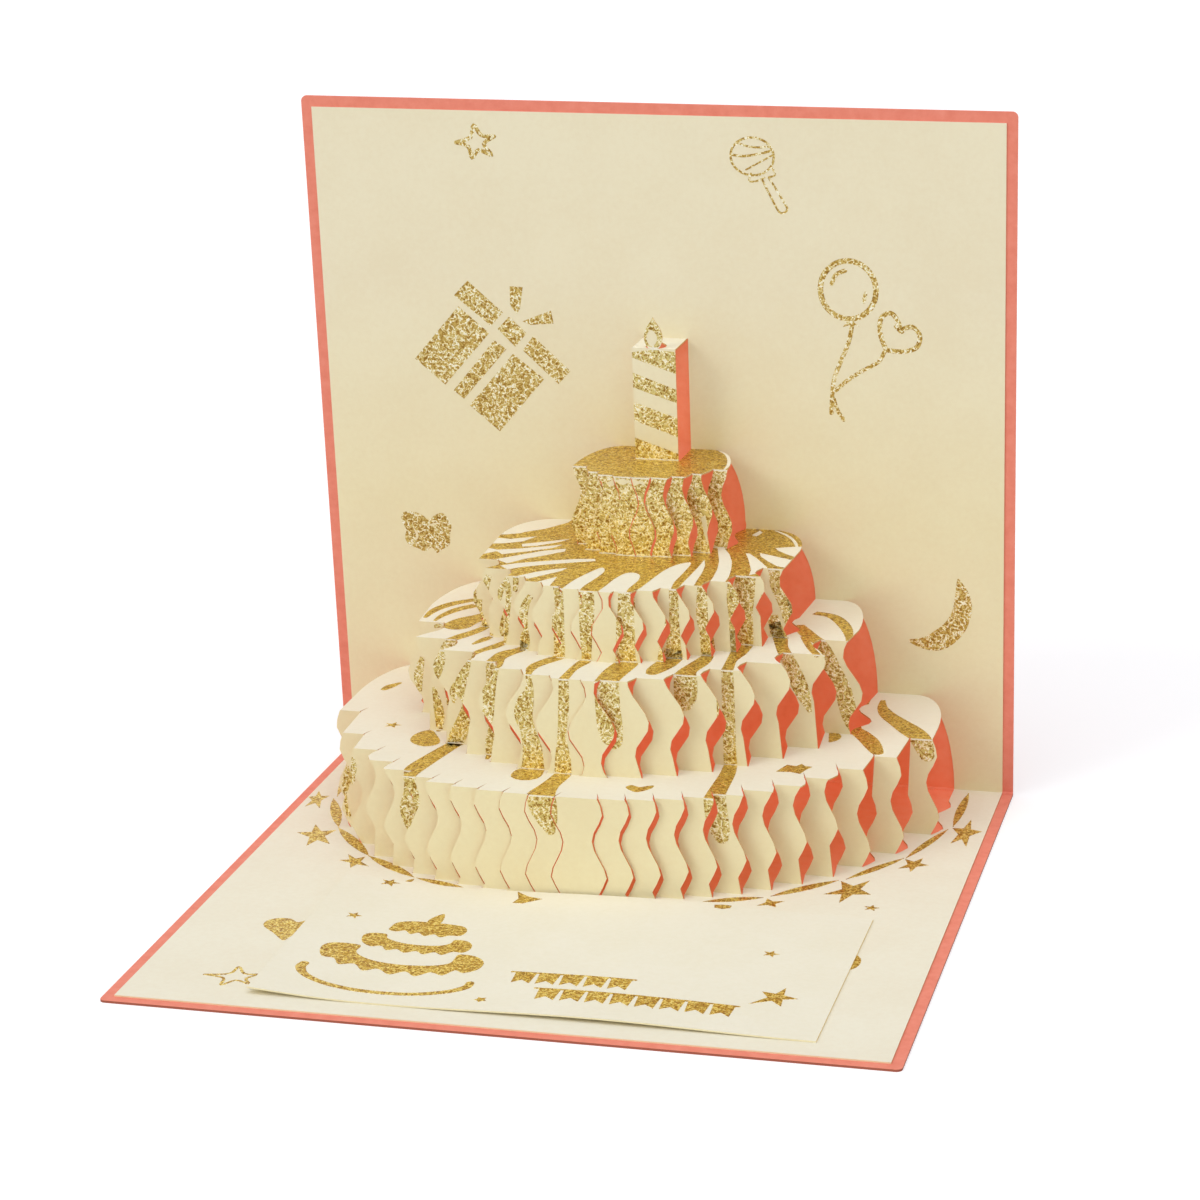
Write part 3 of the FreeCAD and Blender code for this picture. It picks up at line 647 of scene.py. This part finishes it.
lay_foil(
    "foil_bottom_tier",
    gold=[
        drip([(-32.8, -29.6, 1.8), (-33.4, -31, 1.7), (-35, -38, 1.9), (-36.6, -46, 2.1), (-36.9, -50, 1.8),
              (-37.1, -53.5, 1.9), (-37.3, -57, 2.7), (-37.6, -60, 2.0), (-37.5, -62.6, 0.8)]),
        curve([(-41.8, -23.4), (-43.3, -27), (-42.6, -31), (-39.5, -33.4), (-37, -32.2), (-36.7, -29.5),
               (-38.7, -25.5), (-40.2, -23.2)]),
        drip([(-58.6, 2.2, 0.8), (-57.9, 4.6, 1.1), (-56.6, 7.2, 0.5)], head="round"),
        even_star(-49.5, -21.2, 2.0, 8),
        [(34.6, -34.3), (35.4, -31.5), (36.0, -29.6), (38, -30), (38.8, -28.4), (39.7, -29.6), (41.3, -29.8),
         (40.3, -32), (39.6, -34.7), (37.6, -33.9)],
        curve([(7.4, -49.6), (8.2, -48.2), (9.3, -48.7), (10.3, -49), (11.4, -48.1), (12.7, -47.6), (12.5, -49.5),
               (11, -51.6), (9.9, -52.1), (8.4, -51.1)]),
        drip([(-61.3, -24.5, 0.4), (-62.3, -28, 1.1), (-63.4, -31.5, 0.8), (-63.4, -34, 0.3)]),
        drip([(-56.2, -33.5, 0.4), (-56.3, -36.5, 0.7), (-56.8, -39.5, 0.4)]),
        drip([(-53.1, -39.5, 0.3), (-53.1, -42, 0.6), (-53.2, -44, 0.2)]),
        drip([(-58.6, -41.5, 0.3), (-58.5, -45, 0.4), (-58.1, -47.2, 0.5)]),
        drip([(41.3, -7.2, 0.8), (42.2, -9.5, 1.3), (42.3, -11.6, 1.1), (41.9, -13.4, 0.4)]),
    ],
    panels=("tier_4_plate", "tier_4_face"),
)

# Gold foil on the base
# A garland of slim leaves lies round the foot of the cake, with solid and outlined stars and a heart outside it.
# Printed flat on the base panel; the loose card hides some of them in part.


def leaf(start, end, half):
    """A slim leaf between two tips."""
    dx, dy = end[0] - start[0], end[1] - start[1]
    return drip([
        (start[0] + dx * t, start[1] + dy * t, half * math.sin(math.pi * t) ** 0.8) for t in (0.0, 0.2, 0.5, 0.8, 1.0)
    ])


lay_foil(
    "foil_base",
    gold=[
        leaf((-70.3, -9), (-66.6, -32), 0.9),
        leaf((-67.0, -33.5), (-60.3, -50.6), 1.2),
        leaf((-60.2, -51), (-48.8, -66), 1.3),
        leaf((-48.8, -66), (-36.1, -76), 1.3),
        leaf((-35.6, -76.2), (-24, -80.0), 1.0),
        leaf((-35.8, -77), (-37.2, -79.8), 0.6),
        even_star(-23.2, -81.2, 1.0, 20, 0.3),
        leaf((65.8, -2), (65.6, -23.6), 0.95),
        leaf((64.8, -25.5), (59, -44.4), 0.85),
        leaf((58.6, -44.5), (49.2, -58.9), 0.95),
        leaf((47.8, -59.8), (36.3, -71.4), 1.2),
        leaf((35, -72.4), (23.8, -77.1), 1.1),
        star(-70.2, -34.4, [(-71.6, -29.4), (-68.3, -32.0), (-67.9, -40.2), (-71.4, -39.8), (-72.7, -33.6)], 0.5),
        star(-63.2, -56.4, [(-65.6, -50), (-60.1, -52.4), (-58.8, -61), (-63.3, -63), (-67.8, -55.6)], 0.52),
        star(-50.6, -69.8, [(-53.3, -65.9), (-49.3, -66.6), (-46.9, -71.9), (-50.4, -73.5), (-54, -69.7)], 0.52),
        even_star(-40.1, -80.6, 2.1, 10),
        star(68.6, -27, [(68.7, -18.5), (71.9, -25.4), (70, -35.3), (66.5, -34), (65.6, -24.6)], 0.5),
        star(61.2, -47.8, [(62.4, -43.6), (64.2, -47.6), (61.1, -52.2), (58.3, -50.8), (58.9, -45)], 0.5),
        star(51.3, -65, [(54, -58.6), (55.5, -66.4), (50.1, -72.2), (46.2, -68.2), (48.4, -60.2)], 0.52),
        star(36.8, -75.3, [(35.8, -72.8), (39.5, -73.5), (38.4, -77.1), (34.5, -77.1)], 0.45),
        even_star(56.8, -73.6, 1.7, 5),
        stroke([(-59.8, -133.9), (-55.3, -132.5), (-54.7, -128.9), (-52.5, -132), (-49.6, -131.6)], 0.3),
        stroke([(-49.6, -131.6), (-51.4, -134.2), (-50, -136.6), (-53, -135.4), (-55, -138.2), (-55.7, -134.8),
                (-59.8, -133.9)], 0.3),
        curve([(-51, -114.3), (-54, -111), (-57.1, -107.8), (-57.3, -105), (-55.5, -103.3), (-53, -103.2),
               (-51.2, -104.6), (-49.6, -103), (-48.4, -102.6), (-48.7, -105), (-49.5, -109), (-50.2, -112.4)]),
        curve([(57.6, -98.5), (59.2, -100), (59.6, -103), (58.8, -105.5), (57.4, -106.5), (56.6, -103)]),
    ],
    panels=("base",), finish=flat_foil,
)

# Gold foil on the back panel
# A party scene of small separate motifs: a gift box, a lollipop, two balloons, a bow, a star and a crescent moon.
# Solid motifs are filled with foil, and the others are drawn in one thin line.
lay_foil(
    "foil_gift_box",
    gold=[
        [(-53.3, 92.6), (-43.1, 104.6), (-36.6, 98.9), (-46.9, 87.0)],
        [(-43.9, 107.0), (-40.8, 110.3), (-33.4, 103.6), (-36.1, 100.5)],
        [(-45.1, 85.8), (-35.6, 97.4), (-33.0, 95.5), (-42.9, 84.0)],
        [(-41.7, 82.6), (-31.6, 94.5), (-25.0, 89.2), (-35.3, 77.0)],
        [(-34.7, 99.9), (-32.1, 102.7), (-28.4, 99.2), (-31.0, 96.1)],
        [(-29.4, 95.4), (-27.0, 98.6), (-19.2, 91.2), (-21.9, 88.2)],
        [(-31.6, 109.4), (-28.8, 109.3), (-29.6, 104.6), (-30.3, 103.4), (-31.7, 105.2)],
        [(-29.2, 101.8), (-22.9, 104.4), (-22.4, 101.6), (-27.4, 101.1)],
    ],
    panels=("back",), finish=flat_foil,
)
lay_foil(
    "foil_back_star",
    gold=[
        stroke([(-41.7, 140.1), (-38.5, 141.3), (-37.7, 143.9), (-36.2, 141.8), (-33.4, 141.6)], 0.42),
        stroke([(-33.4, 141.6), (-35.7, 139.9), (-34.1, 137.6), (-36.9, 138.6), (-38.4, 136.9), (-39.1, 139.3),
                (-41.7, 140.1)], 0.42),
    ],
    panels=("back",), finish=flat_foil,
)
round_sweet = [
    (20.9 + 4.5 * math.cos(math.radians(a)), 138.8 + 3.95 * math.sin(math.radians(a))) for a in range(0, 361, 20)
]
lay_foil(
    "foil_lollipop",
    gold=[
        stroke(round_sweet[:10], 0.24),
        stroke(round_sweet[9:], 0.24),
        stroke([(17.6, 141.7), (19.6, 141.0), (22, 140.7), (24.3, 140.9)], 0.22),
        stroke([(16.5, 139.1), (18.8, 138.8), (21.6, 139.2), (25.0, 140.1)], 0.26),
        stroke([(19.6, 136.0), (22.4, 137.6), (25.2, 139.2)], 0.18),
        stroke([(20.6, 135.2), (20.2, 133.6), (21.8, 133.7), (23.4, 134.4)], 0.2),
        stroke([(24.9, 136.7), (25.6, 135.1), (24.2, 134.5)], 0.2),
        stroke([(22.9, 134.0), (24.4, 130.9), (26.3, 127.3), (27.7, 127.4), (28.0, 128.2)], 0.22),
        stroke([(24.3, 134.4), (26.2, 131.3), (28.0, 128.2)], 0.22),
    ],
    panels=("back",), finish=flat_foil,
)
round_balloon = [
    (40.4 + 5.8 * math.cos(math.radians(a)), 111.2 + 6.2 * math.sin(math.radians(a))) for a in range(0, 361, 20)
]
lay_foil(
    "foil_balloons",
    gold=[
        stroke(round_balloon[:10], 0.58),
        stroke(round_balloon[9:], 0.58),
        stroke([(37.0, 112.4), (37.9, 114.4), (39.8, 115.3)], 0.45),
        stroke([(43.6, 108.8), (44.0, 110.6)], 0.4),
        [(39.2, 103.2), (40.6, 105.2), (42.6, 103.4), (41.2, 103.9)],
        stroke([(41.2, 104), (40.4, 100), (38.8, 96), (37.3, 92), (36.8, 88), (36.6, 84.4)], 0.45),
        stroke([(48, 98.6), (46.6, 96), (43.4, 94), (40.2, 91.8), (37.6, 89.4)], 0.42),
        stroke([(37.1, 87.6), (37.9, 85), (39.2, 83)], 0.42),
        stroke([(48.2, 98.6), (47.0, 102), (47.2, 105.4), (49.2, 106.6), (50.6, 105), (51.2, 103)], 0.5),
        stroke([(51.2, 103), (53.6, 103.8), (55.2, 102), (54.5, 99.4), (51.6, 98.4), (48.2, 98.6)], 0.5),
        stroke([(50.4, 103.8), (51.4, 102.8)], 0.6),
    ],
    panels=("back",), finish=flat_foil,
)
lay_foil(
    "foil_bow",
    gold=[curve([
        (-58.2, 57.2), (-56, 57.6), (-54, 57), (-52.3, 56.0), (-51, 57.0), (-49.2, 57.6), (-47.9, 56.2),
        (-47.3, 54.6),
        (-47.8, 52.6), (-47.8, 50.8), (-48.6, 49.8), (-50, 49), (-51, 48.2), (-52.1, 49.5), (-53.6, 48.4),
        (-55.4, 49.2), (-57, 49.6), (-58, 51.4), (-57.6, 53.4), (-58.6, 55.2),
    ], steps=3)],
    bare=[drip([(-52.6, 54.6, 0.12), (-51.2, 54.9, 0.3), (-50.6, 55.2, 0.12)], head="round"),
          drip([(-55.8, 53.6, 0.12), (-55.2, 52.2, 0.3), (-55.4, 51.2, 0.12)], head="round")],
    panels=("back",), finish=flat_foil,
)
lay_foil(
    "foil_moon",
    gold=[curve([
        (63.1, 48.8), (62.7, 46.6), (62.3, 43.0), (61.6, 40.6), (60, 38.2), (57.8, 36.4), (55.4, 34.9), (52.6, 34.2),
        (54.4, 32.9), (57.6, 32.1), (60.6, 32.8), (63.4, 35.2), (65.3, 38.4), (66.1, 42.4), (65.5, 45.4),
        (64.2, 47.6),
    ])],
    panels=("back",), finish=flat_foil,
)

# Gold foil on the message card
# A plain three layer cake with scalloped icing on a curved plate, small stars, and two rows of pennants
# on a string. The same foil, flat on the loose card.


def pennants(x, y, count, pitch, height):
    """A row of little flags that hang from one string."""
    flags = []
    for k in range(count):
        left, middle, right = x + pitch * k, x + pitch * (k + 0.44), x + pitch * (k + 0.88)
        flags.append([(left, y), (right, y), (right - 0.3, y - height), (middle, y - height * 0.68),
                      (left + 0.3, y - height)])
    return flags + [stroke([(x - 0.8, y + 0.25), (x + pitch * count, y + 0.25)], 0.3)]


lay_foil(
    "foil_message_cake",
    gold=[
        curve([(-24.1, -95.2), (-25.6, -97.2), (-26.2, -99.6), (-25.6, -101), (-23.8, -101), (-23.4, -98.4)]),
        curve([(-32.2, -104), (-31.8, -102), (-29.8, -100.6), (-26, -100.1), (-21, -100.4), (-18.3, -101.2),
               (-17.2, -103.3), (-17.8, -105.8), (-19.8, -106), (-21.5, -107.3), (-23.0, -106.0), (-24.7, -107.3),
               (-26.2, -105.8), (-27.6, -106.9), (-29, -105.3), (-30.5, -106.2), (-32.2, -105.8)], steps=3),
        curve([(-36, -109.8), (-34.6, -108.3), (-31.9, -108.1), (-31.2, -110), (-28, -111.6), (-24.3, -112),
               (-20.5, -111.6), (-18.6, -110), (-18.2, -108.1), (-15.8, -108.3), (-14.3, -110), (-14, -112.3),
               (-15, -114.2), (-17.0, -114.1), (-18.6, -116), (-20.4, -114.9), (-22.2, -116.4), (-24, -115.0),
               (-26.0, -116.4), (-27.8, -114.9), (-29.6, -116), (-31.2, -114.1), (-33.2, -114.9), (-35.4, -113)],
              steps=3),
        curve([(-41.8, -119), (-41.3, -116.3), (-39, -115), (-35, -115), (-34.9, -118.2), (-32.8, -120.4),
               (-29, -121.9), (-24, -122.3), (-19, -121.6), (-16, -120), (-15.6, -117.4), (-15.4, -115.3),
               (-13, -115.3), (-10.8, -116.6), (-9.4, -119), (-9.8, -122.2), (-12.1, -124.2), (-13.9, -123),
               (-15.6, -126), (-18.2, -124.8), (-20.6, -127.3), (-23, -125.3), (-25.6, -127.4), (-28.4, -125.2),
               (-31, -126.8), (-33.4, -124), (-36.2, -125.2), (-37.9, -122.6), (-40.4, -122.4)], steps=3),
        drip([(-42.3, -126.9, 0.9), (-42.4, -129, 1.0), (-40.5, -132, 0.8), (-36, -134.6, 0.7), (-30, -136.0, 0.7),
              (-24, -136.3, 0.7), (-18, -135.7, 0.7), (-12.5, -133.6, 0.8), (-9.6, -131, 0.9), (-9.3, -128.8, 0.8)],
             head="round"),
    ],
    side=message_side, finish=flat_foil,
)
lay_foil(
    "foil_message_marks",
    gold=[
        even_star(-40.8, -101, 1.7, 12),
        even_star(42.5, -102.8, 1.7, 12),
        even_star(-39.3, -82, 2.1, 10),
        even_star(-5.2, -136.3, 1.3, 40, 0.3),
        star(47.7, -123, [(48.5, -118.4), (51.6, -123), (49.2, -127.3), (43.2, -127.6), (44.5, -121.2)], 0.55),
        [(-13.2, -80.6), (-12.0, -84.4), (-12.6, -86.8), (-10.6, -87), (-8.8, -85.4), (-7.2, -84), (-10.4, -83)],
        [(26.9, -80.9), (27.2, -82.4), (28.8, -82.7), (30.2, -81.8), (30.3, -80.5), (28.6, -80.4)],
        *pennants(-2.2, -122.4, 5, 4.6, 4.9),
        *pennants(4.2, -129.6, 8, 4.7, 4.9),
    ],
    side=message_side, finish=flat_foil,
)

# Table and backdrop
# A plain white surface under the card, 6 m across so that its edge stays out of the picture.
# It shows as white to the camera and keeps the card's shadow.
bpy.ops.mesh.primitive_plane_add(size=6.0, location=(0.0, 0.0, 0.0))
table = bpy.context.object
table.name = "table"
bpy.ops.object.transform_apply(location=True, rotation=True, scale=True)
white_table, tree, shader, space = new_material("white_table", 0.9, 0.0)
shader.inputs["Base Color"].default_value = (0.86, 0.86, 0.86, 1.0)
seen = tree.nodes.new("ShaderNodeLightPath")
glow = add_math(tree, "MULTIPLY", seen.outputs["Is Camera Ray"], 0.29)
shader.inputs["Emission Color"].default_value = (1.0, 1.0, 1.0, 1.0)
tree.links.new(glow, shader.inputs["Emission Strength"])
table.data.materials.append(white_table)

# Light
# A wide soft lamp from the left front and a softer, cooler one overhead.
# The room round the card is an even white, and plain white to the camera.
for name, toward, power, spread, tone in (
    ("key_lamp", (-0.80, -1.00, 0.75), 0.76, 26.0, (1.0, 1.0, 0.98)),
    ("top_lamp", (0.10, -0.35, 1.00), 1.05, 60.0, (0.95, 1.0, 1.12)),
):
    lamp = bpy.data.lights.new(name, "SUN")
    lamp.energy = power
    lamp.color = tone
    lamp.angle = math.radians(spread)
    holder = bpy.data.objects.new(name, lamp)
    holder.rotation_euler = Vector(toward).to_track_quat("Z", "Y").to_euler()
    bpy.context.scene.collection.objects.link(holder)

world = bpy.data.worlds.new("white_room")
bpy.context.scene.world = world
world.use_nodes = True
tree = world.node_tree
room = tree.nodes["Background"]
path = tree.nodes.new("ShaderNodeLightPath")
air = add_mix(tree, path.outputs["Is Camera Ray"], (1.0, 0.99, 0.965, 1.0), (1.0, 1.0, 1.0, 1.0))
tree.links.new(air.outputs[2], room.inputs["Color"])
direct = add_math(tree, "MAXIMUM", path.outputs["Is Camera Ray"], path.outputs["Is Glossy Ray"])
direct = add_math(tree, "MAXIMUM", direct, path.outputs["Is Transmission Ray"])
level = add_math(tree, "ADD", add_math(tree, "MULTIPLY", direct, 0.48), 0.52)
tree.links.new(level, room.inputs["Strength"])

# Camera
# Placed from the corners of the two panels in the photograph.
# The spot is worked out in millimetres from the crease, and then moved into the shared frame in metres.
turn, rise, roll = math.radians(14.05), math.radians(16.1), math.radians(-0.7)
back = Vector((math.sin(turn) * math.cos(rise), -math.cos(turn) * math.cos(rise), math.sin(rise)))
level_right = Vector((math.cos(turn), math.sin(turn), 0.0))
level_up = back.cross(level_right)
right = level_right * math.cos(roll) + level_up * math.sin(roll)
up = level_up * math.cos(roll) - level_right * math.sin(roll)
spot = Vector((0.0, -20.0, 50.0)) + back * 740.14 + right * -10.36 + up * -5.31
spot = (spot + Vector((0.0, 74.2168, 0.75))) / 1000
lens = bpy.data.cameras.new("camera")
lens.sensor_width = 36.0
lens.lens = 3520.04 / 1200 * 36
lens.clip_start = 0.01
camera = bpy.data.objects.new("camera", lens)
camera.matrix_world = Matrix((
    (right.x, up.x, back.x, spot.x),
    (right.y, up.y, back.y, spot.y),
    (right.z, up.z, back.z, spot.z),
    (0.0, 0.0, 0.0, 1.0),
))
bpy.context.scene.collection.objects.link(camera)
bpy.context.scene.camera = camera
